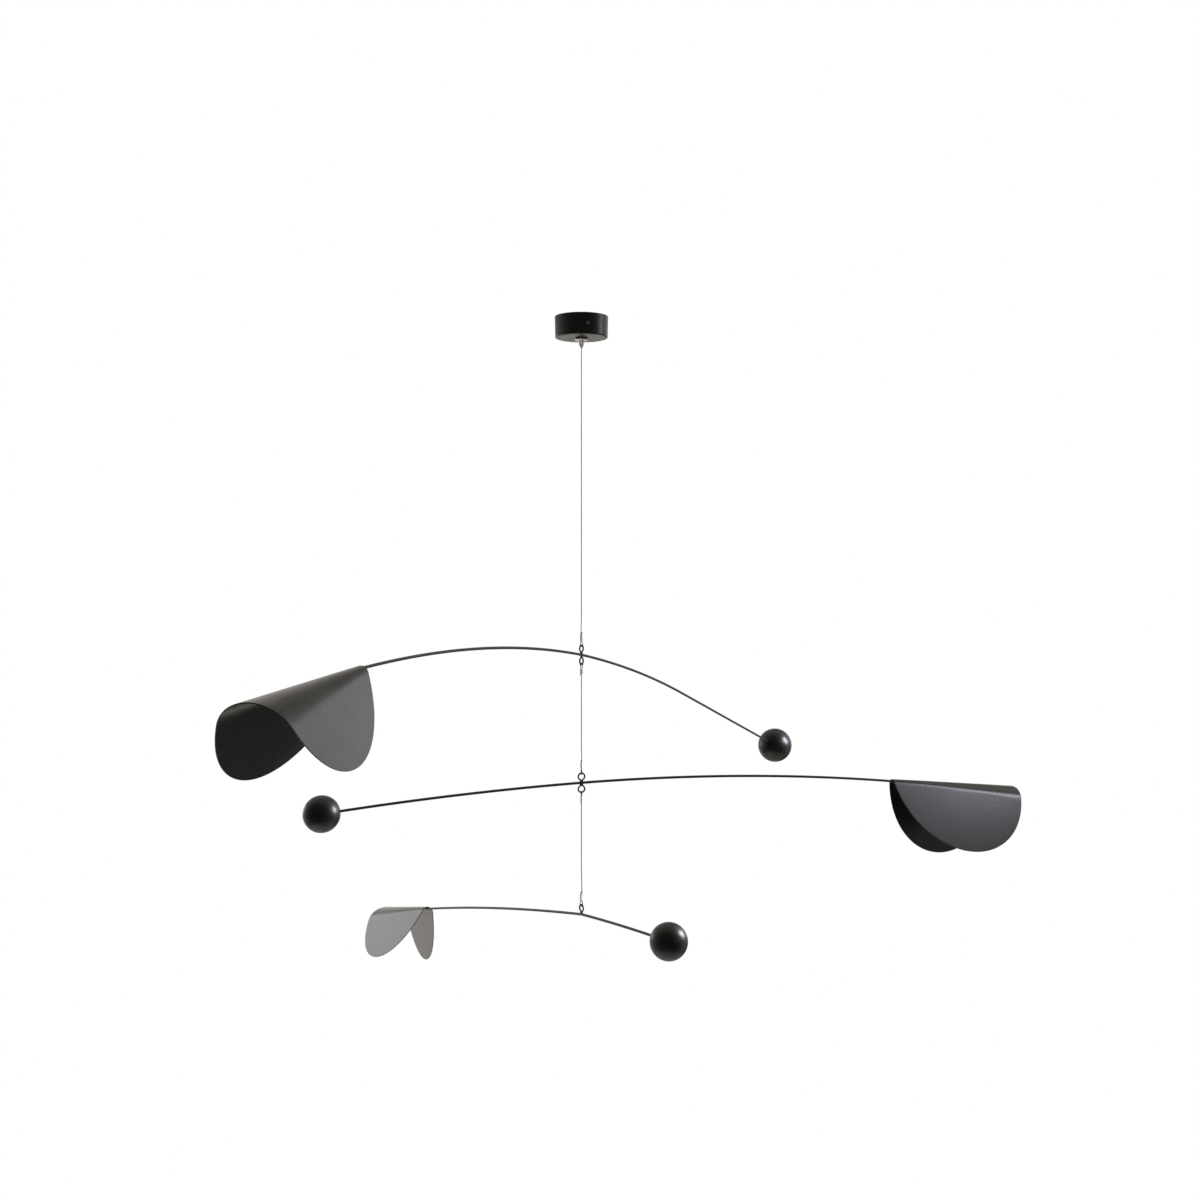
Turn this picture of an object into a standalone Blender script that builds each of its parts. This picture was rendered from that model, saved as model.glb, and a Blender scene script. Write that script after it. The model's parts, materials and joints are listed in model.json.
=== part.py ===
"""Hanging mobile: three arched rods, each with a ball at one end and a bent round leaf at the other,
hung one below the other on thin wire ropes from a small black canopy. Metres, +Z up.

The origin is the middle of the ceiling plate's top face, where the mobile is fixed. Each arm has a frame
of its own on the vertical through its hook: +X along the rod towards the ball, +Z up.
"""
import math
from collections import namedtuple

import bmesh
import bpy
from mathutils import Matrix, Vector

# Clearance between pieces that touch on the real object
GAP = 0.0003

# Canopy and what holds it
CANOPY_TOP_DIAMETER = 0.0612
CANOPY_DIAMETER = 0.060
CANOPY_HEIGHT = 0.0245
CANOPY_WALL = 0.002
CANOPY_EDGE_RADIUS = 0.0012
PLATE_THICKNESS = 0.0025
PLATE_DEPTH = 0.017
SET_SCREW_DIAMETER = 0.004
SET_SCREW_LENGTH = 0.006
SET_SCREW_SOCKET = 0.002
SET_SCREW_SOCKET_DEPTH = 0.0018
SET_SCREW_SINK = 0.0005
SET_SCREW_DROP = 0.0117
SET_SCREW_BEARING_DEG = -74.7
GRIPPER_FLANGE_DIAMETER = 0.015
GRIPPER_FLANGE_THICKNESS = 0.0026
GRIPPER_STUB_DIAMETER = 0.008
GRIPPER_STUB_RISE = 0.003
GRIPPER_NOSE_DIAMETER = 0.0058
GRIPPER_NOSE_LENGTH = 0.0044
GRIPPER_TIP_DIAMETER = 0.0028
GRIPPER_TIP_LENGTH = 0.0040

# Wire ropes, their ferrules and the eyelets they hang in
ROPE_DIAMETER = 0.001
ROPE_TAIL_ABOVE_STUB = 0.003
ROPE_LOOP_LENGTH = 0.0048
ROPE_STRAND_PITCH = 0.0012
ROPE_SPREAD = 0.025
FERRULE_LENGTH = 0.008
FERRULE_WALL = 0.0005
EYELET_WIRE_DIAMETER = 0.0018
EYELET_RING_RADIUS = 0.0039
EYELET_NECK_RADIUS = 0.001
EYELET_REACH = 0.011

# Rods, balls and leaves
ROD_DIAMETER = 0.003
ROD_TONGUE = 0.010
BALL_HOLE_DEPTH = 0.012
LEAF_THICKNESS = 0.001

# Upper arm
UPPER_DROP = 0.3870
UPPER_BEARING_DEG = 60.1
UPPER_LEAF_SLOPE_DEG = -8.47
UPPER_BALL_SLOPE_DEG = -9.41
UPPER_LEAF_BEND_RADIUS = 1.490
UPPER_BALL_BEND_RADIUS = 1.780
UPPER_BENT_REACH = 0.256
UPPER_BALL_REACH = 0.5692
UPPER_BALL_DIAMETER = 0.050
UPPER_LEAF_REACH = 0.3881
UPPER_LEAF_DIAMETER = 0.191
UPPER_LEAF_DIP_DEG = 5.15
UPPER_LEAF_ROLL_DEG = -3.49
UPPER_LEAF_YAW_DEG = 13.0
UPPER_LEAF_SKEW_DEG = -5.45
UPPER_LEAF_APEX_SETBACK = 0.0546
UPPER_LEAF_CONE_DEG = 8.23
UPPER_LEAF_FLAP_DEG = 69.0

# Middle arm
MIDDLE_DROP = 0.5335
MIDDLE_BEARING_DEG = 201.6
MIDDLE_LEAF_SLOPE_DEG = -1.09
MIDDLE_BALL_SLOPE_DEG = -1.16
MIDDLE_LEAF_BEND_RADIUS = 3.027
MIDDLE_BALL_BEND_RADIUS = 3.937
MIDDLE_BALL_REACH = 0.2963
MIDDLE_BALL_DIAMETER = 0.040
MIDDLE_LEAF_REACH = 0.4165
MIDDLE_LEAF_DIAMETER = 0.2002
MIDDLE_LEAF_DIP_DEG = 6.53
MIDDLE_LEAF_ROLL_DEG = -14.65
MIDDLE_LEAF_YAW_DEG = 6.74
MIDDLE_LEAF_SKEW_DEG = -1.53
MIDDLE_LEAF_APEX_SETBACK = 0.0470
MIDDLE_LEAF_CONE_DEG = 6.04
MIDDLE_LEAF_FLAP_DEG = 75.6

# Lower arm, whose rod has a bend of its own at the hook
LOWER_DROP = 0.6841
LOWER_BEARING_DEG = -58.0
LOWER_LEAF_SLOPE_DEG = 8.54
LOWER_BALL_SLOPE_DEG = 4.0
LOWER_LEAF_BEND_RADIUS = 5.694
LOWER_BALL_BEND_RADIUS = 3.524
LOWER_BALL_REACH = 0.1748
LOWER_BALL_DIAMETER = 0.040
LOWER_LEAF_REACH = 0.4138
LOWER_LEAF_DIAMETER = 0.1752
LOWER_LEAF_DIP_DEG = 12.21
LOWER_LEAF_ROLL_DEG = 13.96
LOWER_LEAF_YAW_DEG = -5.18
LOWER_LEAF_SKEW_DEG = 2.05
LOWER_LEAF_APEX_SETBACK = 0.0537
LOWER_LEAF_CONE_DEG = 8.78
LOWER_LEAF_FLAP_DEG = 73.1

# Facets
CANOPY_STEPS = 40
BALL_STEPS = 24
SMALL_STEPS = 20
ROD_RINGS = 14
BEND_STRIPS = 14
FLAP_STRIPS = 13

Arm = namedtuple("Arm", "name drop bearing leaf_slope ball_slope leaf_radius ball_radius bent_reach "
                        "ball_reach ball_diameter leaf_reach leaf")
Leaf = namedtuple("Leaf", "diameter dip roll yaw skew setback cone flap")


def describe_arms():
    """The three arms, angles in radians."""
    rad = math.radians
    upper_leaf = Leaf(UPPER_LEAF_DIAMETER, rad(UPPER_LEAF_DIP_DEG), rad(UPPER_LEAF_ROLL_DEG),
                      rad(UPPER_LEAF_YAW_DEG), rad(UPPER_LEAF_SKEW_DEG), UPPER_LEAF_APEX_SETBACK,
                      rad(UPPER_LEAF_CONE_DEG), rad(UPPER_LEAF_FLAP_DEG))
    middle_leaf = Leaf(MIDDLE_LEAF_DIAMETER, rad(MIDDLE_LEAF_DIP_DEG), rad(MIDDLE_LEAF_ROLL_DEG),
                       rad(MIDDLE_LEAF_YAW_DEG), rad(MIDDLE_LEAF_SKEW_DEG), MIDDLE_LEAF_APEX_SETBACK,
                       rad(MIDDLE_LEAF_CONE_DEG), rad(MIDDLE_LEAF_FLAP_DEG))
    lower_leaf = Leaf(LOWER_LEAF_DIAMETER, rad(LOWER_LEAF_DIP_DEG), rad(LOWER_LEAF_ROLL_DEG),
                      rad(LOWER_LEAF_YAW_DEG), rad(LOWER_LEAF_SKEW_DEG), LOWER_LEAF_APEX_SETBACK,
                      rad(LOWER_LEAF_CONE_DEG), rad(LOWER_LEAF_FLAP_DEG))
    upper = Arm("upper", UPPER_DROP, rad(UPPER_BEARING_DEG), rad(UPPER_LEAF_SLOPE_DEG),
                rad(UPPER_BALL_SLOPE_DEG), UPPER_LEAF_BEND_RADIUS, UPPER_BALL_BEND_RADIUS,
                UPPER_BENT_REACH, UPPER_BALL_REACH, UPPER_BALL_DIAMETER, UPPER_LEAF_REACH, upper_leaf)
    middle = Arm("middle", MIDDLE_DROP, rad(MIDDLE_BEARING_DEG), rad(MIDDLE_LEAF_SLOPE_DEG),
                 rad(MIDDLE_BALL_SLOPE_DEG), MIDDLE_LEAF_BEND_RADIUS, MIDDLE_BALL_BEND_RADIUS,
                 MIDDLE_BALL_REACH, MIDDLE_BALL_REACH, MIDDLE_BALL_DIAMETER, MIDDLE_LEAF_REACH,
                 middle_leaf)
    lower = Arm("lower", LOWER_DROP, rad(LOWER_BEARING_DEG), rad(LOWER_LEAF_SLOPE_DEG),
                rad(LOWER_BALL_SLOPE_DEG), LOWER_LEAF_BEND_RADIUS, LOWER_BALL_BEND_RADIUS,
                LOWER_BALL_REACH, LOWER_BALL_REACH, LOWER_BALL_DIAMETER, LOWER_LEAF_REACH, lower_leaf)
    return upper, middle, lower


def clear_scene():
    for item in list(bpy.data.objects):
        bpy.data.objects.remove(item, do_unlink=True)


def material(name, colour, roughness, metallic):
    finish = bpy.data.materials.new(name)
    finish.use_nodes = True
    shader = finish.node_tree.nodes["Principled BSDF"]
    shader.inputs["Base Color"].default_value = (*colour, 1.0)
    shader.inputs["Roughness"].default_value = roughness
    shader.inputs["Metallic"].default_value = metallic
    finish.diffuse_color = (*colour, 1.0)
    return finish


def place(item, finish, parent=None):
    """Puts an object in the scene with its own material, under its arm's frame."""
    item.data.materials.append(finish)
    bpy.context.scene.collection.objects.link(item)
    item.parent = parent
    return item


def turned(name, profile, steps, closed=False):
    """Spins a profile of (radius, height) points round Z. A closed profile makes a sleeve."""
    shape = bmesh.new()
    points = [shape.verts.new((radius, 0.0, height)) for radius, height in profile]
    edges = [shape.edges.new(pair) for pair in zip(points, points[1:])]
    if closed:
        edges.append(shape.edges.new((points[-1], points[0])))
    bmesh.ops.spin(shape, geom=points + edges, cent=(0, 0, 0), axis=(0, 0, 1), angle=2 * math.pi,
                   steps=steps, use_merge=True)
    bmesh.ops.remove_doubles(shape, verts=shape.verts, dist=1e-6)
    bmesh.ops.recalc_face_normals(shape, faces=shape.faces)
    mesh = bpy.data.meshes.new(name)
    shape.to_mesh(mesh)
    shape.free()
    mesh.shade_smooth()
    mesh.set_sharp_from_angle(angle=math.radians(35))
    return bpy.data.objects.new(name, mesh)


def arc(centre, radius, start, end, count):
    """Points on a circle from one angle to another, as (across, up) pairs."""
    angles = [start + (end - start) * step / count for step in range(count + 1)]
    return [(centre[0] + radius * math.cos(a), centre[1] + radius * math.sin(a)) for a in angles]


def bent_wire(name, points, radius, closed=False, bevel_resolution=2):
    """A round wire through the points, capped at its ends unless it is closed."""
    curve = bpy.data.curves.new(name, "CURVE")
    curve.dimensions = "3D"
    curve.bevel_depth = radius
    curve.bevel_resolution = bevel_resolution
    curve.use_fill_caps = not closed
    spline = curve.splines.new("POLY")
    spline.points.add(len(points) - 1)
    for node, point in zip(spline.points, points):
        node.co = (*point, 1.0)
    spline.use_cyclic_u = closed
    return bpy.data.objects.new(name, curve)


def loop_radius():
    """Radius of a rope's loop, measured to the rope's centre, round an eyelet's wire."""
    return EYELET_WIRE_DIAMETER / 2 + ROPE_DIAMETER / 2 + GAP


def canopy_floor():
    return -CANOPY_HEIGHT


def make_canopy(finish):
    """A low cup, open and slightly wider at the ceiling, with a hole for the gripper's stub."""
    foot = CANOPY_DIAMETER / 2
    top = CANOPY_TOP_DIAMETER / 2
    hole = GRIPPER_STUB_DIAMETER / 2 + GAP
    floor = canopy_floor()
    edge = arc((foot - CANOPY_EDGE_RADIUS, floor + CANOPY_EDGE_RADIUS), CANOPY_EDGE_RADIUS,
               -math.pi / 2, 0.0, 4)
    profile = [(hole, floor + CANOPY_WALL), (hole, floor)] + edge
    profile += [(top, 0.0), (top - CANOPY_WALL, 0.0), (foot - CANOPY_WALL, floor + CANOPY_WALL)]
    return place(turned("canopy", profile, CANOPY_STEPS, closed=True), finish)


def make_ceiling_plate(finish):
    """An upturned cup on the ceiling, inside the canopy, whose skirt the set screw bites into."""
    outer = CANOPY_DIAMETER / 2 - CANOPY_WALL - GAP
    inner = outer - CANOPY_WALL
    profile = [(0.0, -PLATE_THICKNESS), (inner, -PLATE_THICKNESS), (inner, -PLATE_DEPTH),
               (outer, -PLATE_DEPTH), (outer, 0.0), (0.0, 0.0)]
    return place(turned("ceiling_plate", profile, CANOPY_STEPS), finish)


def screw_frame():
    """Where the set screw's outer end sits in the canopy's side, its +Z pointing outwards."""
    bearing = math.radians(SET_SCREW_BEARING_DEG)
    flare = (CANOPY_TOP_DIAMETER - CANOPY_DIAMETER) / 2 * (1 - SET_SCREW_DROP / CANOPY_HEIGHT)
    reach = CANOPY_DIAMETER / 2 + flare - SET_SCREW_SINK
    outwards = Vector((math.cos(bearing), math.sin(bearing), 0.0))
    turn = outwards.to_track_quat("Z", "X").to_matrix().to_4x4()
    return Matrix.Translation(outwards * reach + Vector((0, 0, -SET_SCREW_DROP))) @ turn


def make_set_screw(finish):
    """A short screw with a round-bottomed socket in its outer end."""
    radius = SET_SCREW_DIAMETER / 2
    socket = SET_SCREW_SOCKET / 2
    profile = [(0.0, -SET_SCREW_LENGTH), (radius, -SET_SCREW_LENGTH), (radius, 0.0), (socket, 0.0),
               (socket, -SET_SCREW_SOCKET_DEPTH), (0.0, -SET_SCREW_SOCKET_DEPTH)]
    screw = place(turned("set_screw", profile, 12), finish)
    screw.matrix_world = screw_frame()
    return screw


def drill_for_screw(pieces):
    """Cuts the set screw's hole through the canopy's side and the plate's skirt."""
    radius = SET_SCREW_DIAMETER / 2 + GAP
    start = -2 * SET_SCREW_LENGTH
    profile = [(0.0, start), (radius, start), (radius, SET_SCREW_LENGTH), (0.0, SET_SCREW_LENGTH)]
    drill = turned("screw_drill", profile, 12)
    bpy.context.scene.collection.objects.link(drill)
    drill.matrix_world = screw_frame()
    drill.hide_render = True
    drill.display_type = "WIRE"
    for piece in pieces:
        cut = piece.modifiers.new("screw hole", "BOOLEAN")
        cut.operation = "DIFFERENCE"
        cut.solver = "EXACT"
        cut.object = drill


def gripper_levels():
    """Heights of the gripper's stub top, flange top, flange bottom, nose end and tip end."""
    flange_top = canopy_floor() - GAP
    flange_bottom = flange_top - GRIPPER_FLANGE_THICKNESS
    nose_end = flange_bottom - GRIPPER_NOSE_LENGTH
    return (canopy_floor() + CANOPY_WALL + GRIPPER_STUB_RISE, flange_top, flange_bottom, nose_end,
            nose_end - GRIPPER_TIP_LENGTH)


def make_gripper(finish):
    """A turned nut: a round-edged flange under the canopy's floor, and a tapered nose round the rope."""
    stub_top, flange_top, flange_bottom, nose_end, tip_end = gripper_levels()
    bore = ROPE_DIAMETER / 2 + GAP
    stub = GRIPPER_STUB_DIAMETER / 2
    flange = GRIPPER_FLANGE_DIAMETER / 2
    nose = GRIPPER_NOSE_DIAMETER / 2
    round_edge = GRIPPER_FLANGE_THICKNESS / 2
    rim = arc((flange - round_edge, flange_bottom + round_edge), round_edge, -math.pi / 2, math.pi / 2, 6)
    profile = [(bore, stub_top), (bore, tip_end), (GRIPPER_TIP_DIAMETER / 2, tip_end), (nose, nose_end),
               (nose, flange_bottom)] + rim + [(stub, flange_top), (stub, stub_top)]
    return place(turned("cable_gripper", profile, SMALL_STEPS, closed=True), finish)


def rope_loop(side, tail_share):
    """A rope's loop round an eyelet's far wire, in its own plane, as (across, height) pairs.

    side is 1 for the loop above the rod and -1 for the one below. Two strands side by side fill a share
    of the ferrule, leave it at its mouth and run to the loop's arc as tangents. Also gives the mouth.
    """
    half = ROPE_STRAND_PITCH / 2
    radius = loop_radius()
    lean = math.asin((radius - half) / ROPE_LOOP_LENGTH)
    mouth = EYELET_REACH + ROPE_LOOP_LENGTH
    end = mouth + FERRULE_LENGTH * tail_share
    bend = arc((0.0, EYELET_REACH), radius, lean, -math.pi - lean, 10)
    outline = [(half, end), (half, mouth)] + bend + [(-half, mouth), (-half, end)]
    return [(across, side * up) for across, up in outline], side * mouth


def make_ferrule(name, mouth, side, finish, parent):
    """A flattened sleeve whose slot holds the two strands side by side."""
    half = ROPE_STRAND_PITCH / 2
    slot = ROPE_DIAMETER / 2 + GAP
    far = mouth + side * FERRULE_LENGTH
    bottom, top = min(mouth, far), max(mouth, far)
    shape = bmesh.new()
    rings = []
    for radius, height in ((slot, bottom), (slot + FERRULE_WALL, bottom), (slot + FERRULE_WALL, top),
                           (slot, top)):
        right = arc((half, 0.0), radius, -math.pi / 2, math.pi / 2, 6)
        left = arc((-half, 0.0), radius, math.pi / 2, 3 * math.pi / 2, 6)
        rings.append([shape.verts.new((out, across, height)) for across, out in right + left])
    for first, second in zip(rings, rings[1:] + rings[:1]):
        for index, start in enumerate(first):
            following = (index + 1) % len(first)
            shape.faces.new((start, first[following], second[following], second[index]))
    bmesh.ops.recalc_face_normals(shape, faces=shape.faces)
    mesh = bpy.data.meshes.new(name)
    shape.to_mesh(mesh)
    shape.free()
    mesh.shade_smooth()
    mesh.set_sharp_from_angle(angle=math.radians(40))
    return place(bpy.data.objects.new(name, mesh), finish, parent)


def hanging_rope(name, top_height, finish, parent):
    """A straight rope from top_height down to its loop in the arm's top eyelet, ferrule and all."""
    loop, mouth = rope_loop(1, 1.0)
    spread = mouth + FERRULE_LENGTH + ROPE_SPREAD
    points = [(0.0, 0.0, top_height), (0.0, 0.0, spread)]
    points += [(0.0, across, height) for across, height in loop]
    place(bent_wire(name, points, ROPE_DIAMETER / 2), finish, parent)
    make_ferrule(name + "_ferrule", mouth, 1, finish, parent)


def standing_loop(name, finish, parent):
    """The loop at a rope's upper end, in the arm's bottom eyelet, with its ferrule.

    The rope's straight run turns with the arm below, so this loop is a piece of its own, and the
    run's end stands in the same ferrule under it. Returns the height of that end.
    """
    tail_share = 0.5
    loop, mouth = rope_loop(-1, tail_share)
    points = [(0.0, across, height) for across, height in loop]
    place(bent_wire(name + "_top_loop", points, ROPE_DIAMETER / 2), finish, parent)
    make_ferrule(name + "_top_ferrule", mouth, -1, finish, parent)
    return mouth - FERRULE_LENGTH * tail_share - GAP


def make_eyelet(name, side, finish, parent):
    """A drop-shaped ring of wire on the rod (side 1) or under it (side -1), its narrow end at the rod."""
    centre = EYELET_REACH - EYELET_RING_RADIUS
    neck = ROD_DIAMETER / 2 + EYELET_WIRE_DIAMETER / 2 + GAP + EYELET_NECK_RADIUS
    lean = math.asin((EYELET_RING_RADIUS - EYELET_NECK_RADIUS) / (centre - neck))
    outline = arc((0.0, centre), EYELET_RING_RADIUS, -lean, math.pi + lean, 14)
    outline += arc((0.0, neck), EYELET_NECK_RADIUS, math.pi + lean, 2 * math.pi - lean, 4)
    points = [(along, 0.0, side * up) for along, up in outline]
    return place(bent_wire(name, points, EYELET_WIRE_DIAMETER / 2, closed=True), finish, parent)


def bend_height(reach, slope, radius):
    """Height of an arc that falls away from its tangent at the hook, at a distance along the arm."""
    here = math.sin(slope) - reach / radius
    return (math.sqrt(1 - here ** 2) - math.cos(slope)) * radius


def rod_height(arm, reach):
    """The rod's height over the hook: an arc each side of it, then straight on to the ball."""
    if reach < 0:
        return bend_height(reach, arm.leaf_slope, arm.leaf_radius)
    bent = min(reach, arm.bent_reach)
    sine = math.sin(arm.ball_slope) - bent / arm.ball_radius
    straight = (reach - bent) * sine / math.sqrt(1 - sine ** 2)
    return bend_height(bent, arm.ball_slope, arm.ball_radius) + straight


def leaf_frame(arm):
    """The leaf's root on the rod's end, and its directions: outwards, sideways and up."""
    leaf = arm.leaf
    outwards = Vector((-math.cos(leaf.yaw), -math.sin(leaf.yaw), 0.0))
    sideways = Vector((-outwards.y, outwards.x, 0.0))
    up = Vector((0.0, 0.0, 1.0))
    along = outwards * math.cos(leaf.dip) - up * math.sin(leaf.dip)
    over = outwards * math.sin(leaf.dip) + up * math.cos(leaf.dip)
    across = sideways * math.cos(leaf.roll) + over * math.sin(leaf.roll)
    crown = over * math.cos(leaf.roll) - sideways * math.sin(leaf.roll)
    rod_end = Vector((-arm.leaf_reach, 0.0, rod_height(arm, -arm.leaf_reach)))
    return rod_end, along, across, crown


def make_rod(arm, finish, parent):
    """A round rod: from under the leaf's crest, over the hook, into the ball."""
    rod_end, along, _, _ = leaf_frame(arm)
    points = [rod_end + along * ROD_TONGUE]
    for step in range(ROD_RINGS + 1):
        reach = -arm.leaf_reach * (1 - step / ROD_RINGS)
        points.append((reach, 0.0, rod_height(arm, reach)))
    centre, direction = ball_frame(arm)
    tip = centre - direction * (arm.ball_diameter / 2 - BALL_HOLE_DEPTH + GAP)
    for step in range(1, ROD_RINGS):
        reach = tip.x * step / ROD_RINGS
        points.append((reach, 0.0, rod_height(arm, reach)))
    points.append(tip)
    return place(bent_wire(arm.name + "_rod", points, ROD_DIAMETER / 2), finish, parent)


def ball_frame(arm):
    """The ball's centre on the rod's line, and the rod's direction into it."""
    mouth = arm.ball_reach - arm.ball_diameter / 2
    centre = Vector((arm.ball_reach, 0.0, rod_height(arm, arm.ball_reach)))
    entry = Vector((mouth, 0.0, rod_height(arm, mouth)))
    return centre, (centre - entry).normalized()


def make_ball(arm, finish, parent):
    """A ball with a blind hole for the rod, turned about the hole's own axis."""
    radius = arm.ball_diameter / 2
    hole = ROD_DIAMETER / 2 + GAP
    rim = math.asin(hole / radius)
    surface = arc((0.0, 0.0), radius, math.pi / 2 - rim, -math.pi / 2, BALL_STEPS // 2)
    bottom = radius - BALL_HOLE_DEPTH
    profile = [(0.0, bottom), (hole, bottom)] + surface[:-1] + [(0.0, -radius)]
    ball = place(turned(arm.name + "_ball", profile, BALL_STEPS), finish, parent)
    centre, direction = ball_frame(arm)
    ball.location = centre
    ball.rotation_mode = "QUATERNION"
    ball.rotation_quaternion = (-direction).to_track_quat("Z", "Y")
    return ball


def cone_ray(leaf, angle):
    """Direction and normal of the bent sheet's straight line at an angle from its crest.

    The line turns on a cone as far as the flap angle, and past it the sheet is flat. The three
    numbers of each are outwards, across and up.
    """
    bent = leaf.flap * math.sin(leaf.cone)
    turn = min(abs(angle), bent) / math.sin(leaf.cone)
    flat = max(abs(angle) - bent, 0.0)
    side = math.copysign(1.0, angle)
    axis = Vector((math.cos(leaf.cone), 0.0, -math.sin(leaf.cone)))
    crest = Vector((math.sin(leaf.cone), 0.0, math.cos(leaf.cone)))
    across = Vector((0.0, side, 0.0))
    line = axis * math.cos(leaf.cone) + (crest * math.cos(turn) + across * math.sin(turn)) * math.sin(leaf.cone)
    sideways = across * math.cos(turn) - crest * math.sin(turn)
    direction = line * math.cos(flat) + sideways * math.sin(flat)
    onward = sideways * math.cos(flat) - line * math.sin(flat)
    return direction, direction.cross(onward) * side


def ray_angles(leaf, middle, widest):
    """Angles of the sheet's straight lines: even over the bend, closing up towards both ends."""
    bent = leaf.flap * math.sin(leaf.cone)
    angles = [bent * (2 * step / BEND_STRIPS - 1) for step in range(BEND_STRIPS + 1)]
    for step in range(1, FLAP_STRIPS + 1):
        share = math.sin(math.pi / 2 * step / FLAP_STRIPS)
        angles.append(bent + (middle + widest - bent) * share)
        angles.insert(0, -bent + (middle - widest + bent) * share)
    return angles


def make_leaf(arm, finish, parent):
    """A round disc of sheet bent over a cone whose point lies behind the rod's end.

    Each straight line of the bent sheet starts at the cone's point and crosses the disc from its
    near edge to its far edge, so two edge points and a thickness give a strip's corners.
    """
    leaf = arm.leaf
    radius = leaf.diameter / 2
    root, along, across, crown = leaf_frame(arm)
    root = root + crown * (ROD_DIAMETER / 2 + GAP + LEAF_THICKNESS)
    centre = (leaf.setback + radius * math.cos(leaf.skew), radius * math.sin(leaf.skew))
    distance = math.hypot(*centre)
    middle = math.atan2(centre[1], centre[0])
    widest = math.asin(radius / distance)
    shape = bmesh.new()
    rows = []
    for angle in ray_angles(leaf, middle, widest):
        direction, normal = cone_ray(leaf, angle)
        offset = angle - middle
        reach = distance * math.cos(offset)
        half = math.sqrt(max(radius ** 2 - (distance * math.sin(offset)) ** 2, 0.0))
        row = []
        for length, depth in ((reach - half, 0.0), (reach + half, 0.0),
                              (reach + half, LEAF_THICKNESS), (reach - half, LEAF_THICKNESS)):
            local = direction * length - normal * depth - Vector((leaf.setback, 0.0, 0.0))
            row.append(shape.verts.new(root + along * local.x + across * local.y + crown * local.z))
        rows.append(row)
    for first, second in zip(rows, rows[1:]):
        for corner in range(4):
            following = (corner + 1) % 4
            shape.faces.new((first[corner], first[following], second[following], second[corner]))
    bmesh.ops.remove_doubles(shape, verts=shape.verts, dist=1e-6)
    bmesh.ops.recalc_face_normals(shape, faces=shape.faces)
    mesh = bpy.data.meshes.new(arm.name + "_leaf")
    shape.to_mesh(mesh)
    shape.free()
    mesh.shade_smooth()
    mesh.set_sharp_from_angle(angle=math.radians(35))
    return place(bpy.data.objects.new(arm.name + "_leaf", mesh), finish, parent)


def arm_frame(arm):
    """An empty at the arm's hook: its Z is the line that the arm turns about."""
    frame = bpy.data.objects.new(arm.name + "_arm_frame", None)
    frame.location = (0.0, 0.0, -arm.drop)
    frame.rotation_euler = (0.0, 0.0, arm.bearing)
    bpy.context.scene.collection.objects.link(frame)
    return frame


def build():
    clear_scene()
    black = material("black painted steel", (0.008, 0.007, 0.006), 0.42, 0.0)
    zinc = material("zinc plated steel", (0.45, 0.45, 0.44), 0.4, 1.0)
    nickel = material("nickel plated brass", (0.62, 0.60, 0.56), 0.25, 1.0)
    rope_steel = material("stainless wire rope", (0.33, 0.33, 0.32), 0.4, 1.0)
    rod_black = material("dark painted rod", (0.022, 0.020, 0.018), 0.4, 0.0)
    ball_black = material("satin black ball", (0.006, 0.005, 0.005), 0.35, 0.0)
    leaf_grey = material("grey painted sheet", (0.13, 0.13, 0.135), 0.45, 0.0)

    canopy = make_canopy(black)
    plate = make_ceiling_plate(zinc)
    make_set_screw(zinc)
    drill_for_screw((canopy, plate))
    make_gripper(nickel)

    upper, middle, lower = describe_arms()
    frames = {}
    for arm in (upper, middle, lower):
        frames[arm.name] = arm_frame(arm)
        make_rod(arm, rod_black, frames[arm.name])
        make_ball(arm, ball_black, frames[arm.name])
        make_leaf(arm, leaf_grey, frames[arm.name])
    make_eyelet("upper_top_eyelet", 1, rod_black, frames["upper"])
    make_eyelet("upper_bottom_eyelet", -1, rod_black, frames["upper"])
    make_eyelet("middle_top_eyelet", 1, rod_black, frames["middle"])
    make_eyelet("middle_bottom_eyelet", -1, rod_black, frames["middle"])
    make_eyelet("lower_eyelet", 1, rod_black, frames["lower"])

    rope_top = gripper_levels()[0] + ROPE_TAIL_ABOVE_STUB + upper.drop
    hanging_rope("top_rope", rope_top, rope_steel, frames["upper"])
    run_top = standing_loop("middle_rope", rope_steel, frames["upper"])
    hanging_rope("middle_rope", run_top + middle.drop - upper.drop, rope_steel, frames["middle"])
    run_top = standing_loop("lower_rope", rope_steel, frames["middle"])
    hanging_rope("lower_rope", run_top + lower.drop - middle.drop, rope_steel, frames["lower"])


build()
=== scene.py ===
# %% [markdown]
# # A hanging mobile, dressed from its CAD frame
# The mobile is three thin arched rods that hang one below the other on wire rope. Each rod carries a
# ball at one end and a round leaf of bent sheet at the other. The solid model behind it gives every
# piece its true place. This lesson gives each piece a finer surface and a finish, one cell at a time.
#
# All lengths are metres. The origin is on top of the plate that carries the mobile, and +Z is up.

# %% Load the frame
import json
import math

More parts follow.
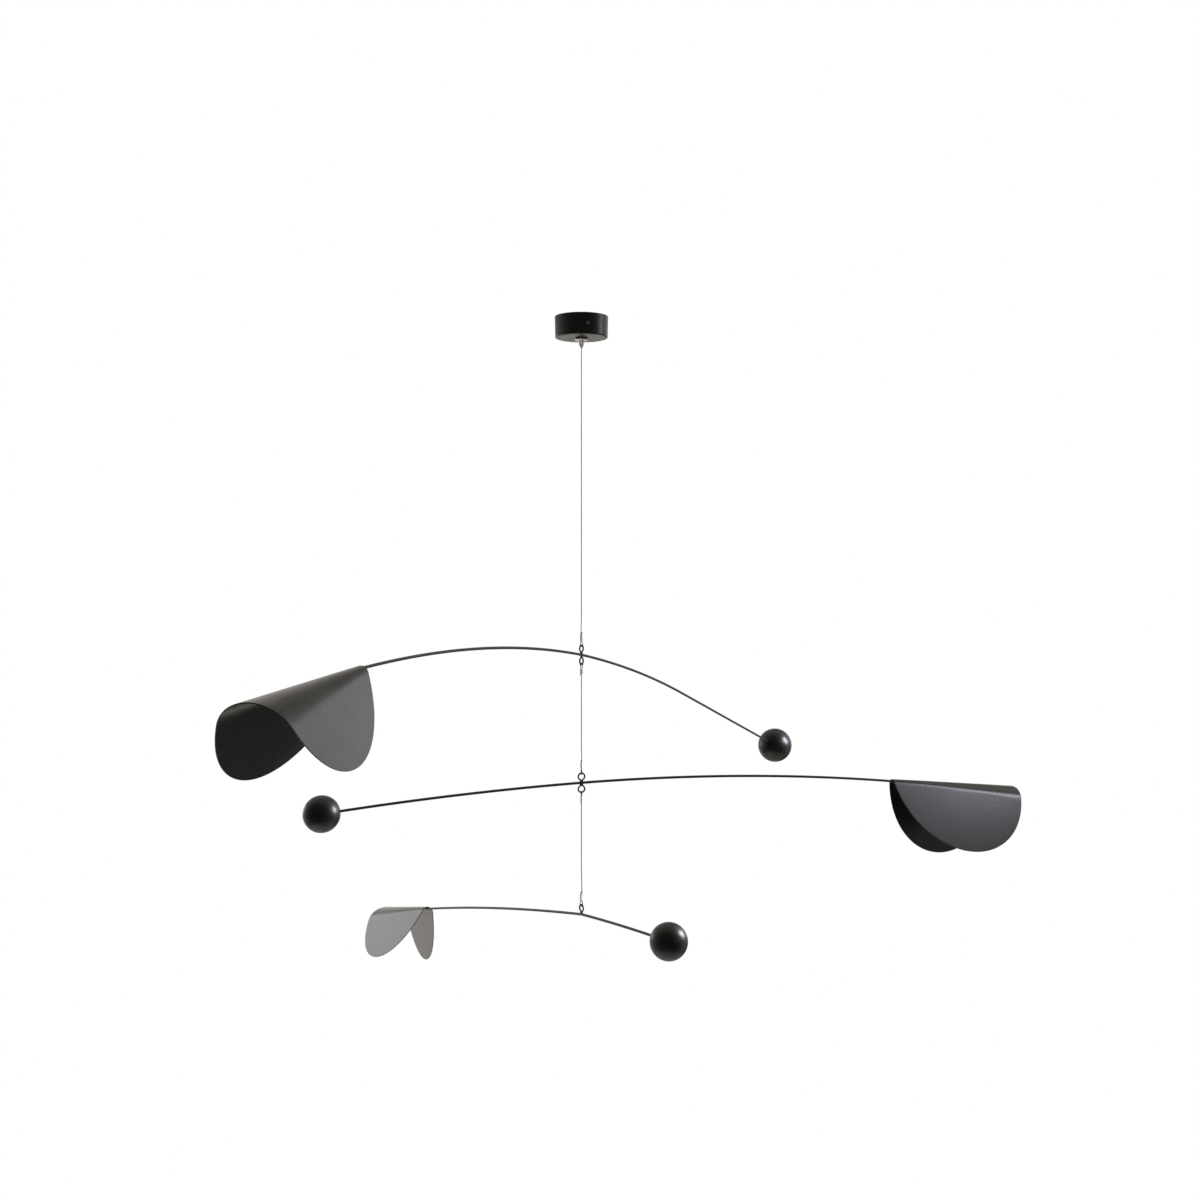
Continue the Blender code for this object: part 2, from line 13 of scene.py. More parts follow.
import bpy
import numpy as np
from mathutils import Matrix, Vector


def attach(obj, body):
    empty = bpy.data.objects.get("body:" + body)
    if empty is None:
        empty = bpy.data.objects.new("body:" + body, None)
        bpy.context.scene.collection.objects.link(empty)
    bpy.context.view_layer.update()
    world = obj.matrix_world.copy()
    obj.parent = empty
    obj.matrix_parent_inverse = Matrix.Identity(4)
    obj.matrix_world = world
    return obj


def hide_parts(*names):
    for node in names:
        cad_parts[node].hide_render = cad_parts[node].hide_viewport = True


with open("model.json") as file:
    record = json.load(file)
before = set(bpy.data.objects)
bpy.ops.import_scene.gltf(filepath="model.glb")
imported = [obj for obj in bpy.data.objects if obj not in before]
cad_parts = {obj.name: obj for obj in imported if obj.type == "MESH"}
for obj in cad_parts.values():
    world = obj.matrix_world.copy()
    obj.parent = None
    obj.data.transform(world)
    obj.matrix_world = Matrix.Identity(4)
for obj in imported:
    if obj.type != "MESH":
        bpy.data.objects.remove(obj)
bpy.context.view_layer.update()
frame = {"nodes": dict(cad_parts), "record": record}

# %% [markdown]
# ## Two small helpers for every material
# Colours are written as the sRGB hex codes that a colour picker shows. Blender's shaders want linear
# light, so one function turns one into the other. The second helper adds a shader node, sets its
# values and plugs in its links, so that a material reads as a short list.

# %% Colour and node helpers
def linear(code):
    """sRGB hex to linear RGBA: below 0.04045 divide by 12.92, above it ((c + 0.055) / 1.055) ^ 2.4."""
    part = np.array([int(code[i:i + 2], 16) / 255 for i in (1, 3, 5)])
    part = np.where(part <= 0.04045, part / 12.92, ((part + 0.055) / 1.055) ** 2.4)
    return (*part.tolist(), 1.0)


def node(tree, kind, settings=None, **values):
    """Adds a node. settings are its own options; values are inputs by name: a number, or an output."""
    made = tree.nodes.new(kind)
    for option, value in (settings or {}).items():
        setattr(made, option, value)
    for name, value in values.items():
        socket = made.inputs[int(name[1:])] if name[0] == "i" and name[1:].isdigit() \
            else made.inputs[name.replace("_", " ")]
        if isinstance(value, bpy.types.NodeSocket):
            tree.links.new(value, socket)
        else:
            socket.default_value = value
    return made


print("white is", linear("#ffffff")[:3])

# %% [markdown]
# ## The camera
# The photograph was taken level, from about 1.6 m in front of the rope and 0.3 m below the canopy's
# top. A 41.4 mm lens on a 36 mm sensor gives its field of view, and a shift of about 2% of the frame
# lets the camera stay level while the mobile fills the picture.

# %% Place the camera
PICTURE_SIZE = 1200
camera_data = bpy.data.cameras.new("photo_camera")
camera_data.lens = 41.4
camera_data.sensor_width = 36.0
camera_data.shift_x = -0.5 / PICTURE_SIZE
camera_data.shift_y = -22.5 / PICTURE_SIZE
camera_data.clip_start = 0.02
camera = bpy.data.objects.new("photo_camera", camera_data)
camera.location = (0.0218, -1.58, -0.2985)
camera.rotation_euler = (math.pi / 2, 0.0, 0.0)
bpy.context.scene.collection.objects.link(camera)
bpy.context.scene.camera = camera
print("camera stands", round(-camera.location.y, 3), "m in front of the rope")

# %% [markdown]
# ## Surfaces from rings
# Nearly every piece here is a stack of closed rings: a wire is rings along a path, a ball is rings
# from pole to pole, and a sleeve is rings that come back to where they started. So one function turns
# an array of rings into a mesh. It works on whole arrays, joins the last point of each ring to its
# first, closes the ends with a pole, and turns the faces outwards by the sign of the volume.

# %% Rings to mesh
def ring_mesh(name, rings, wrap=False, poles=None, across=None, sharp_deg=40.0, marks=None):
    """A closed surface through rings[u, v], an array of points that is closed along v.

    wrap joins the last ring to the first. poles gives the first and last end point. across is the
    (u, v) length of each ring's and point's place for the UV map, in metres. marks is a dictionary
    of values for each point, kept as attributes for the materials.
    """
    count_u, count_v = rings.shape[:2]
    index = np.arange(count_u * count_v).reshape(count_u, count_v)
    near = index if wrap else index[:-1]
    far = np.roll(index, -1, axis=0) if wrap else index[1:]
    quads = np.stack([near, np.roll(near, -1, 1), np.roll(far, -1, 1), far], -1).reshape(-1, 4)
    points = rings.reshape(-1, 3)
    fans = np.empty((0, 3), int)
    if poles is not None:
        points = np.vstack([points, np.asarray(poles, float).reshape(-1, 3)])
        first, last = index.size, index.size + 1
        start = np.stack([np.full(count_v, first), np.roll(index[0], -1), index[0]], -1)
        end = np.stack([np.full(count_v, last), index[-1], np.roll(index[-1], -1)], -1)
        fans = np.vstack([start, end])
    corners = np.vstack([quads[:, [0, 1, 2]], quads[:, [0, 2, 3]], fans])
    volume = np.einsum("ij,ij->i", points[corners[:, 0]],
                       np.cross(points[corners[:, 1]], points[corners[:, 2]])).sum()
    if volume < 0:
        quads, fans = quads[:, ::-1], fans[:, ::-1]
    loops = np.concatenate([quads.ravel(), fans.ravel()])
    sizes = np.concatenate([np.full(len(quads), 4), np.full(len(fans), 3)])
    mesh = bpy.data.meshes.new(name)
    mesh.vertices.add(len(points))
    mesh.vertices.foreach_set("co", points.astype(np.float32).ravel())
    mesh.loops.add(len(loops))
    mesh.loops.foreach_set("vertex_index", loops.astype(np.int32))
    mesh.polygons.add(len(sizes))
    mesh.polygons.foreach_set("loop_start", np.concatenate([[0], np.cumsum(sizes)[:-1]]).astype(np.int32))
    mesh.update(calc_edges=True)
    mesh.validate()
    if across is not None:
        places = np.zeros((len(points), 2))
        places[:index.size, 0] = np.repeat(across[0], count_v)
        places[:index.size, 1] = np.tile(across[1][:count_v], count_u)
        uv = places[loops]
        turn = across[1][-1]
        quad_uv = uv[:quads.size].reshape(-1, 4, 2)
        span = quad_uv[:, :, 1].max(1) - quad_uv[:, :, 1].min(1)
        low = (span > turn / 2)[:, None] & (quad_uv[:, :, 1] < turn / 2)
        quad_uv[:, :, 1] += np.where(low, turn, 0.0)
        mesh.uv_layers.new(name="UVMap").data.foreach_set("uv", uv.astype(np.float32).ravel())
    for mark, values in (marks or {}).items():
        full = np.zeros(len(points), np.float32)
        full[:index.size] = np.broadcast_to(values, (count_u, count_v)).ravel()
        if poles is not None:
            full[-2] = full[:count_v].mean()
            full[-1] = full[index.size - count_v:index.size].mean()
        mesh.attributes.new(mark, "FLOAT", "POINT").data.foreach_set("value", full)
    mesh.shade_smooth()
    mesh.set_sharp_from_angle(angle=math.radians(sharp_deg))
    piece = bpy.data.objects.new(name, mesh)
    bpy.context.scene.collection.objects.link(piece)
    return piece


print("ring_mesh is ready")

# %% [markdown]
# ## A profile carried along a path
# A wire needs a ring at each step of its path, square to the path's direction. All the paths here lie
# in or near one plane, so the plane's own direction gives each ring its upright without any twisting.

# %% Sweep and lathe
def unit(vectors):
    """Vectors divided by their own lengths."""
    return vectors / np.linalg.norm(vectors, axis=-1, keepdims=True)


def full_turn(count):
    """Angles of points spaced evenly round a circle."""
    return np.linspace(0.0, 2 * np.pi, count, endpoint=False)


def path_length(path):
    """Distance along the path from its first point to each point."""
    return np.concatenate([[0.0], np.cumsum(np.linalg.norm(np.diff(path, axis=0), axis=1))])


def points_at(path, distances):
    """The path's points at the given distances from its start."""
    along = path_length(path)
    return np.stack([np.interp(distances, along, path[:, axis]) for axis in range(3)], -1)


def resample(path, count):
    """The path again, with its points at equal distances."""
    return points_at(path, np.linspace(0.0, path_length(path)[-1], count))


def sweep_rings(path, upright, radius, count_v, closed=False, flat=1.0):
    """Rings round a path: point = path + radius * (side * cos v + over * flat * sin v).

    The side is upright x direction, and over is direction x side. radius is one number, one for
    each ring, or one for each point.
    """
    if closed:
        direction = unit(np.roll(path, -1, axis=0) - np.roll(path, 1, axis=0))
    else:
        direction = unit(np.gradient(path, axis=0))
    side = unit(np.cross(np.broadcast_to(upright, path.shape), direction))
    over = np.cross(direction, side)
    angle = full_turn(count_v)[:, None]
    reach = np.asarray(radius, float)
    reach = reach[:, None, None] if reach.ndim == 1 else reach[..., None]
    ring = side[:, None] * np.cos(angle) + over[:, None] * np.sin(angle) * flat
    return path[:, None] + ring * reach


def rounded_ends(along, radius, edge):
    """Radius along a wire with rounded ends: radius - edge * (1 - sqrt(1 - near ^ 2)).

    near falls from 1 at an end to 0 at the edge's length from it. 0.999 keeps the end rings open.
    """
    near = np.clip(1 - np.minimum(along, along[-1] - along) / edge, 0.0, 1.0)
    return radius - edge * (1 - np.sqrt(1 - near ** 2)) * 0.999


def wire(name, path, upright, radius, count_v, edge):
    """A round wire with rounded ends, its UV map in metres along and round it."""
    length = path_length(path)[-1]
    steps = edge * np.array([0.02, 0.12, 0.35, 0.7, 1.2])
    distances = np.concatenate([[0.0], steps, np.linspace(edge * 2, length - edge * 2, len(path)),
                                length - steps[::-1], [length]])
    path = points_at(path, distances)
    rings = sweep_rings(path, upright, rounded_ends(distances, radius, edge), count_v)
    around = np.linspace(0.0, 2 * np.pi * radius, count_v + 1)
    return ring_mesh(name, rings, poles=(path[0], path[-1]), across=(distances, around))


def lathe_rings(profile, count_v):
    """Rings of a turned piece: (radius * cos v, radius * sin v, height) for each profile point."""
    angle = full_turn(count_v)
    radius, height = profile[:, 0:1], profile[:, 1:2]
    return np.stack([radius * np.cos(angle), radius * np.sin(angle), height + 0 * angle], -1)


def arc_points(centre, radius, start_deg, end_deg, count):
    """Points of a circle from one angle to another."""
    angle = np.radians(np.linspace(start_deg, end_deg, count))
    return np.stack([centre[0] + radius * np.cos(angle), centre[1] + radius * np.sin(angle)], -1)


print("a circle of 8 points closes to", arc_points((0, 0), 1.0, 0, 360, 9)[-1].round(6))

# %% [markdown]
# ## The facts of the three arms
# Each arm has its own frame: x runs along the rod towards the ball, z is up, and the hook is the
# origin. The rod is bent to a gentle arc. An arc's slope has a sine that changes evenly along it,
# which gives its height in one line. The upper rod runs straight for its last stretch to the ball.
# ROD is the rod's radius, GAP the clearance that the frame leaves between pieces that touch, and
# SHEET the leaves' thickness. ball and leaf are radii, and all angles are in degrees.

# %% Describe the arms
ROD = 0.0015
GAP = 0.0003
SHEET = 0.001
AHEAD, ASIDE, UP = np.eye(3)
ARMS = {
    "upper": dict(drop=0.3870, bearing=60.1, leaf_slope=-8.47, ball_slope=-9.41, leaf_bend=1.490,
                  ball_bend=1.780, bent=0.256, ball_reach=0.5692, ball=0.025, leaf_reach=0.3881,
                  leaf=0.0955, dip=5.15, roll=-3.49, yaw=13.0, skew=-5.45, setback=0.0546, cone=8.23,
                  flap=69.0),
    "middle": dict(drop=0.5335, bearing=201.6, leaf_slope=-1.09, ball_slope=-1.16, leaf_bend=3.027,
                   ball_bend=3.937, bent=0.2963, ball_reach=0.2963, ball=0.020, leaf_reach=0.4165,
                   leaf=0.1001, dip=6.53, roll=-14.65, yaw=6.74, skew=-1.53, setback=0.0470, cone=6.04,
                   flap=75.6),
    "lower": dict(drop=0.6841, bearing=-58.0, leaf_slope=8.54, ball_slope=4.0, leaf_bend=5.694,
                  ball_bend=3.524, bent=0.1748, ball_reach=0.1748, ball=0.020, leaf_reach=0.4138,
                  leaf=0.0876, dip=12.21, roll=13.96, yaw=-5.18, skew=2.05, setback=0.0537, cone=8.78,
                  flap=73.1),
}


def rod_height(arm, reach):
    """Height over the hook: (sqrt(1 - q^2) - cos slope) * bend, with q = sin slope - reach / bend.

    Past the bent stretch the rod runs straight on at its last slope, q / sqrt(1 - q^2).
    """
    reach = np.asarray(reach, float)
    slope = np.radians(np.where(reach < 0, arm["leaf_slope"], arm["ball_slope"]))
    bend = np.where(reach < 0, arm["leaf_bend"], arm["ball_bend"])
    bent = np.minimum(reach, arm["bent"])
    sine = np.sin(slope) - bent / bend
    cosine = np.sqrt(1 - sine ** 2)
    return (cosine - np.cos(slope)) * bend + (reach - bent) * sine / cosine


def turned(arm, directions):
    """Turns directions by the arm's bearing b: (x cos b - y sin b, x sin b + y cos b, z)."""
    bearing = math.radians(arm["bearing"])
    cos, sin = math.cos(bearing), math.sin(bearing)
    return directions @ np.array([[cos, sin, 0.0], [-sin, cos, 0.0], [0.0, 0.0, 1.0]])


def to_world(arm, points):
    """Turns points of an arm's frame by its bearing and hangs them at its drop."""
    return turned(arm, points) - UP * arm["drop"]


def leaf_axes(arm):
    """The rod's end under the leaf, and the leaf's directions outwards, across and up, in the arm.

    Outwards starts along -x, swings level by the yaw and then dips. The other two roll about it.
    """
    yaw, dip, roll = (math.radians(arm[key]) for key in ("yaw", "dip", "roll"))
    level = np.array([-math.cos(yaw), -math.sin(yaw), 0.0])
    sideways = np.cross(UP, level)
    along = level * math.cos(dip) - UP * math.sin(dip)
    over = level * math.sin(dip) + UP * math.cos(dip)
    across = sideways * math.cos(roll) + over * math.sin(roll)
    crown = over * math.cos(roll) - sideways * math.sin(roll)
    end = np.array([-arm["leaf_reach"], 0.0, float(rod_height(arm, -arm["leaf_reach"]))])
    return end, along, across, crown


def ball_axes(arm):
    """The ball's centre in the arm's frame, and the rod's direction into it."""
    reach = np.array([arm["ball_reach"] - arm["ball"], arm["ball_reach"]])
    line = np.stack([reach, 0 * reach, rod_height(arm, reach)], -1)
    return line[1], unit(line[1] - line[0])


for arm_name, arm in ARMS.items():
    print(arm_name, "hangs", arm["drop"], "m down; its ball is", round(float(ball_axes(arm)[0][2]), 4),
          "m from hook height")

# %% [markdown]
# ## Putting a finished piece in its place
# Each piece stands for one node of the frame, rides on that node's body and carries a material.
# One line for each piece keeps the three facts together.

# %% Piece bookkeeping
NODE_BODY = {name: body for body, names in frame["record"]["behaviour"]["bodies"].items()
             for name in names}


def stands_for(piece, node_name, material_name):
    """The piece replaces the node and moves with it; its material is filled in further down."""
    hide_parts(node_name)
    return rides(piece, NODE_BODY[node_name], material_name)


def rides(piece, body, material_name):
    """The piece moves with the body, and carries the named material."""
    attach(piece, body)
    finish = bpy.data.materials.get(material_name) or bpy.data.materials.new(material_name)
    piece.data.materials.clear()
    piece.data.materials.append(finish)
    return piece


# %% [markdown]
# ## The rods
# The rods are cold-drawn steel wire, 3 mm thick, bent cold by hand over a former. Drawing leaves the
# wire round and straight-grained, so a plain round sweep is right. The rod ends under the leaf's
# crest in a short tongue, and its other end goes into the ball's hole.

# %% Make the rods
TONGUE = 0.010
BALL_HOLE = 0.012
for arm_name, arm in ARMS.items():
    end, along, across, crown = leaf_axes(arm)
    centre, direction = ball_axes(arm)
    tip = centre - direction * (arm["ball"] - BALL_HOLE + GAP)
    reach = np.concatenate([np.linspace(-arm["leaf_reach"], 0.0, 150), np.linspace(0.0, tip[0], 130)[1:]])
    curve = np.stack([reach, 0 * reach, rod_height(arm, reach)], -1)
    tongue = end + along * np.linspace(TONGUE, TONGUE / 12, 12)[:, None]
    path = to_world(arm, np.vstack([tongue, curve]))
    rod = wire(arm_name + "_rod_wire", path, turned(arm, ASIDE), ROD, 24, 0.0004)
    stands_for(rod, arm_name + "_rod", "drawn_wire_painted")
    print(rod.name, "is", round(path_length(path)[-1] * 1000), "mm long")

# %% [markdown]
# ## The leaves
# Each leaf is a round disc cut from 1 mm steel sheet and bent over a tapered former, tight where the
# rod is fixed and slack at the far side. Sheet bends without stretching, so the true shape is the
# flat disc rolled onto a cone: every straight line through the cone's point stays straight. The flat
# disc is therefore laid out in circles and each of its points is carried onto the cone by its
# distance and angle from the point. Past the bend the sheet runs on flat.

# %% Bend a disc over a cone
def onto_cone(arm, flat, depth):
    """Carries flat points onto the bent sheet, at a depth under its outer face.

    From the cone's point, a flat point is r away at the angle t. The bend takes up the angle
    t1 = flap * sin(cone) each side: there the line turns about the cone's axis by t / sin(cone).
    Past t1 the sheet is flat: the line swings in the flap's own plane by t - t1.
    """
    end, along, across, crown = leaf_axes(arm)
    cone, flap = math.radians(arm["cone"]), math.radians(arm["flap"])
    root = end + crown * (ROD + GAP + SHEET)
    out = flat[..., 0] + arm["setback"]
    aside = flat[..., 1]
    length = np.hypot(out, aside)[..., None]
    angle = np.arctan2(aside, out)
    side = np.where(angle < 0, -1.0, 1.0)[..., None]
    bent = flap * math.sin(cone)
    turn = (np.minimum(np.abs(angle), bent) / math.sin(cone))[..., None]
    swing = np.maximum(np.abs(angle) - bent, 0.0)[..., None]
    axis = along * math.cos(cone) - crown * math.sin(cone)
    ridge = along * math.sin(cone) + crown * math.cos(cone)
    line = axis * math.cos(cone) + math.sin(cone) * (np.cos(turn) * ridge + side * np.sin(turn) * across)
    sideways = side * np.cos(turn) * across - np.sin(turn) * ridge
    direction = line * np.cos(swing) + sideways * np.sin(swing)
    onward = sideways * np.cos(swing) - line * np.sin(swing)
    normal = np.cross(direction, onward) * side
    return root - along * arm["setback"] + direction * length - normal * depth[..., None]


def sheet_profile(radius, edge):
    """Distance from the disc's centre and depth: out over the face, round the edge, back below.

    The points over the face lie closer together towards the edge.
    """
    grid = radius * (1 - (1 - np.linspace(0.03, 1.0, 44)) ** 1.25)
    face = np.stack([np.minimum(grid, radius - edge), 0 * grid], -1)[:-1]
    rim_top = arc_points((radius - edge, edge), edge, -90, 0, 5)
    rim_low = arc_points((radius - edge, SHEET - edge), edge, 0, 90, 5)
    back = face[::-1] + np.array([0.0, SHEET])
    return np.vstack([face, rim_top, rim_low, back])


EDGE_ROUND = 0.0002
RIM_WIDTH = 0.0012
for arm_name, arm in ARMS.items():
    profile = sheet_profile(arm["leaf"], EDGE_ROUND)
    skew = math.radians(arm["skew"])
    middle = arm["leaf"] * np.array([math.cos(skew), math.sin(skew)])
    angle = full_turn(168)
    flat = middle + profile[:, None, :1] * np.stack([np.cos(angle), np.sin(angle)], -1)[None]
    depth = np.broadcast_to(profile[:, 1:2], flat.shape[:2])
    rings = to_world(arm, onto_cone(arm, flat, depth))
    ends = to_world(arm, onto_cone(arm, np.array([middle, middle]), np.array([0.0, SHEET])))
    rim = np.clip(1 - (arm["leaf"] - profile[:, 0]) / RIM_WIDTH, 0.0, 1.0)[:, None]
    leaf = ring_mesh(arm_name + "_leaf_sheet", rings, poles=ends, marks={"rim": rim ** 2}, sharp_deg=50)
    stands_for(leaf, arm_name + "_leaf", "sprayed_sheet")
    print(leaf.name, "was cut", round(arm["leaf"] * 2000), "mm across")

# %% [markdown]
# ## The welds that hold the leaves
# Each rod is fixed under its leaf by two short runs of weld, one each side of the rod, painted over
# afterwards. A run of weld is a row of overlapping puddles, so its width swells and shrinks evenly.

# %% Lay the weld runs
WELD_TALL = 0.0008
PUDDLE = 0.0013


def weld_run(name, path, upright, width, ripple, body):
    """A bead with half axes width and 0.8 mm, both times a swell of 1 + ripple * |cos(pi s / 1.3 mm)|.

    A weaker wave of about 2 mm makes the swell uneven. The bead closes at its ends as
    sqrt(1 - e ^ 6), where e runs from -1 to 1 along it.
    """
    path = resample(path, 48)
    along = path_length(path)
    swell = 1 + ripple * np.abs(np.cos(np.pi * along / PUDDLE)) + 0.06 * np.sin(along * 3100)
    ends = np.sqrt(np.clip(1 - (2 * along / along[-1] - 1) ** 6, 0.0, 1.0))
    size = width * swell * np.maximum(ends, 0.05)
    rings = sweep_rings(path, upright, size, 16, flat=WELD_TALL / width)
    bead = ring_mesh(name, rings, poles=(path[0], path[-1]), sharp_deg=180)
    rides(bead, body, "painted_weld")


WELD_ASIDE, WELD_RISE, WELD_START, WELD_END = 0.00135, 0.0009, 0.0008, 0.0094
for arm_name, arm in ARMS.items():
    end, along, across, crown = leaf_axes(arm)
    for label, side in (("left", 1.0), ("right", -1.0)):
        foot = end + crown * WELD_RISE + across * side * WELD_ASIDE
        line = foot + along * np.linspace(WELD_START, WELD_END, 30)[:, None]
        weld_run(arm_name + "_leaf_weld_" + label, to_world(arm, line), turned(arm, crown), 0.0009, 0.22,
                 arm_name + "_arm")
print("each leaf has two runs of weld,", round((WELD_END - WELD_START) * 1000, 1), "mm long")

# %% [markdown]
# ## The balls
# The balls are steel bearing balls drilled for the rod and painted. A ball is a half circle turned
# about the rod's own line, from the bottom of its blind hole, over the hole's broken edge and round
# to the far pole.

# %% Turn the balls
def toward(direction):
    """Three directions for a piece turned about a line: two square to it, and the line itself."""
    direction = np.asarray(direction, float)
    side = unit(np.cross([0.0, 1.0, 0.0], direction))
    return np.stack([side, np.cross(direction, side), direction])


HOLE_EDGE = 0.00025
for arm_name, arm in ARMS.items():
    radius, hole = arm["ball"], ROD + GAP
    start = math.degrees(math.asin((hole + HOLE_EDGE) / radius))
    surface = arc_points((0.0, 0.0), radius, 90 - start, -88.5, 90)
    mouth = arc_points((hole + HOLE_EDGE, surface[0, 1] - HOLE_EDGE), HOLE_EDGE, 170, 95, 5)
    bottom = radius - BALL_HOLE
    profile = np.vstack([[hole * 0.5, bottom], [hole, bottom], [hole, mouth[0, 1] - 0.0006],
                         mouth, surface])
    centre, direction = ball_axes(arm)
    rings = lathe_rings(profile, 96) @ toward(-direction) + centre
    ends = (np.array([[bottom], [-radius]]) * UP) @ toward(-direction) + centre
    ball = ring_mesh(arm_name + "_ball_turned", to_world(arm, rings), poles=to_world(arm, ends))
    stands_for(ball, arm_name + "_ball", "satin_painted_ball")
    print(ball.name, "is", round(radius * 2000), "mm across")

# %% [markdown]
# ## The eyelets
# An eyelet is a drop of 1.8 mm wire, bent round a pin until its ends meet, and welded to the rod by
# its narrow end. Its outline is a belt round two circles: a ring of 3.9 mm and a small one at the
# rod. The upper and middle rods have one above and one below, and the lowest rod one above.

# %% Bend the eyelets
EYE_WIRE = 0.0009
EYE_RING = 0.0039
EYE_NECK = 0.001
EYE_REACH = 0.011
EYE_FOOT = 0.0021
EYELETS = (("upper", "upper_top_eyelet", 1), ("upper", "upper_bottom_eyelet", -1),
           ("middle", "middle_top_eyelet", 1), ("middle", "middle_bottom_eyelet", -1),
           ("lower", "lower_eyelet", 1))
centre = EYE_REACH - EYE_RING
neck = ROD + EYE_WIRE + GAP + EYE_NECK
lean = math.degrees(math.asin((EYE_RING - EYE_NECK) / (centre - neck)))
belt = np.vstack([arc_points((0.0, centre), EYE_RING, -lean, 180 + lean, 60),
                  arc_points((0.0, neck), EYE_NECK, 180 + lean, 360 - lean, 14)])
for arm_name, node_name, side in EYELETS:
    arm = ARMS[arm_name]
    flat = np.stack([belt[:, 0], 0 * belt[:, 0], belt[:, 1] * side], -1)
    loop = resample(np.vstack([flat, flat[:1]]), 121)[:-1]
    rings = sweep_rings(to_world(arm, loop), turned(arm, ASIDE), EYE_WIRE, 20, closed=True)
    eyelet = ring_mesh(node_name + "_wire", rings, wrap=True)
    stands_for(eyelet, node_name, "blackened_eyelet")
    reach = np.linspace(-EYE_FOOT, EYE_FOOT, 20)
    foot = np.stack([reach, 0 * reach, rod_height(arm, reach) + side * (ROD + 0.00035)], -1)
    weld_run(node_name + "_weld", to_world(arm, foot), UP, 0.0011, 0.15, NODE_BODY[node_name])
print("an eyelet is", round((EYE_RING + EYE_WIRE) * 2000, 1), "mm wide outside")

# %% [markdown]
# ## The wire rope
# The rope is 1 mm stainless strand: six wires laid in a long spiral round a seventh. From outside
# one sees six round lobes with sharp grooves between them. Seen from the middle, the outside of a
# wire of radius a that touches the core lies at 2a cos t + sqrt(a^2 - (2a sin t)^2), where t is the
# angle from the wire's own middle. Turning the lobes evenly with the distance gives the lay.

# %% Lay the rope
ROPE = 0.0005
LAY = 0.0075
ROPE_STEP = 0.0005
ROPE_POINTS = 36


def laid_rope(node_name, path, upright):
    """A strand of six wires round a core, its lobes turning once in 7.5 mm along the path."""
    path = resample(path, max(int(path_length(path)[-1] / ROPE_STEP), 24))
    spun = full_turn(ROPE_POINTS) - (2 * np.pi / LAY) * path_length(path)[:, None]
    from_wire = (spun + np.pi / 6) % (np.pi / 3) - np.pi / 6
    one = ROPE / 3
    bulge = np.sqrt(np.maximum(one ** 2 - (2 * one * np.sin(from_wire)) ** 2, 0))
    reach = 2 * one * np.cos(from_wire) + bulge
    groove = np.clip((ROPE - reach) / (ROPE * 0.35), 0.0, 1.0)
    rings = sweep_rings(path, upright, reach, ROPE_POINTS)
    rope = ring_mesh(node_name + "_strand", rings, poles=(path[0], path[-1]), marks={"groove": groove},
                     sharp_deg=75)
    return stands_for(rope, node_name, "laid_stainless_rope")


LOOP = 0.0048
STRAND = 0.0006
FERRULE = 0.008
SPREAD = 0.025
TAIL = 0.0022
loop_radius = EYE_WIRE + ROPE + GAP


def loop_outline(side, end_share, tail):
    """A rope's loop: strand, arc round the eyelet's wire, strand back, in (across, height)."""
    lean = math.degrees(math.asin((loop_radius - STRAND) / LOOP))
    mouth = EYE_REACH + LOOP
    end = mouth + FERRULE * end_share
    bend = arc_points((0.0, EYE_REACH), loop_radius, lean, -180 - lean, 40)
    outline = np.vstack([[STRAND, end], [STRAND, mouth], bend, [-STRAND, mouth], [-STRAND, end + tail]])
    return outline * np.array([1.0, side])


def soften(path, count, passes):
    """The path at even steps, each point moved to its neighbours' middle a few times over."""
    path = resample(path, count)
    for _ in range(passes):
        path[1:-1] = 0.25 * path[:-2] + 0.5 * path[1:-1] + 0.25 * path[2:]
    return path


def hang_rope(node_name, arm, top):
    """The rope from its upper end to its loop in the arm's top eyelet. Returns its length.

    Over the last stretch above the ferrule it moves from the middle to its strand's place as
    s ^ 2 * (3 - 2 s).
    """
    outline = loop_outline(1, 1.0, TAIL)
    high = outline[0, 1]
    rise = np.linspace(high + SPREAD, high + 0.0002, 24)
    share = 1 - (rise - high) / SPREAD
    across = np.concatenate([[0.0], STRAND * share ** 2 * (3 - 2 * share), outline[:, 0]])
    height = np.concatenate([[top], rise, outline[:, 1]])
    path = np.stack([0 * across, across, height], -1)
    fine = np.vstack([path[:1], soften(path[1:], 240, 4)])
    laid_rope(node_name, to_world(arm, fine), turned(arm, AHEAD))
    return path_length(path)[-1]


CANOPY_TALL, CANOPY_WALL = 0.0245, 0.002
STUB_RISE, ROPE_RISE = 0.003, 0.003
rope_top = ARMS["upper"]["drop"] - (CANOPY_TALL - CANOPY_WALL - STUB_RISE) + ROPE_RISE
run_top = -(EYE_REACH + LOOP + FERRULE * 0.5 + GAP)
drops = {name: arm["drop"] for name, arm in ARMS.items()}
for node_name, arm_name, top in (
        ("top_rope", "upper", rope_top),
        ("middle_rope", "middle", run_top + drops["middle"] - drops["upper"]),
        ("lower_rope", "lower", run_top + drops["lower"] - drops["middle"])):
    length = hang_rope(node_name, ARMS[arm_name], top)
    print(node_name, "is", round(float(length), 4), "m long with its lower loop")

# %% [markdown]
# The middle and lower ropes also have a loop at their upper end. It hangs in the eyelet under the rod
# above and turns with that rod, so it is a piece of its own that meets the rope inside the ferrule.

# %% Loops at the ropes' upper ends
for arm_name, node_name in (("upper", "middle_rope_top_loop"), ("middle", "lower_rope_top_loop")):
    arm = ARMS[arm_name]
    outline = loop_outline(-1, 0.5, 0.0)
    path = soften(np.stack([0 * outline[:, 0], outline[:, 0], outline[:, 1]], -1), 120, 2)
    loop = laid_rope(node_name, to_world(arm, path), turned(arm, AHEAD))
    print(loop.name, "has", len(loop.data.polygons), "faces")

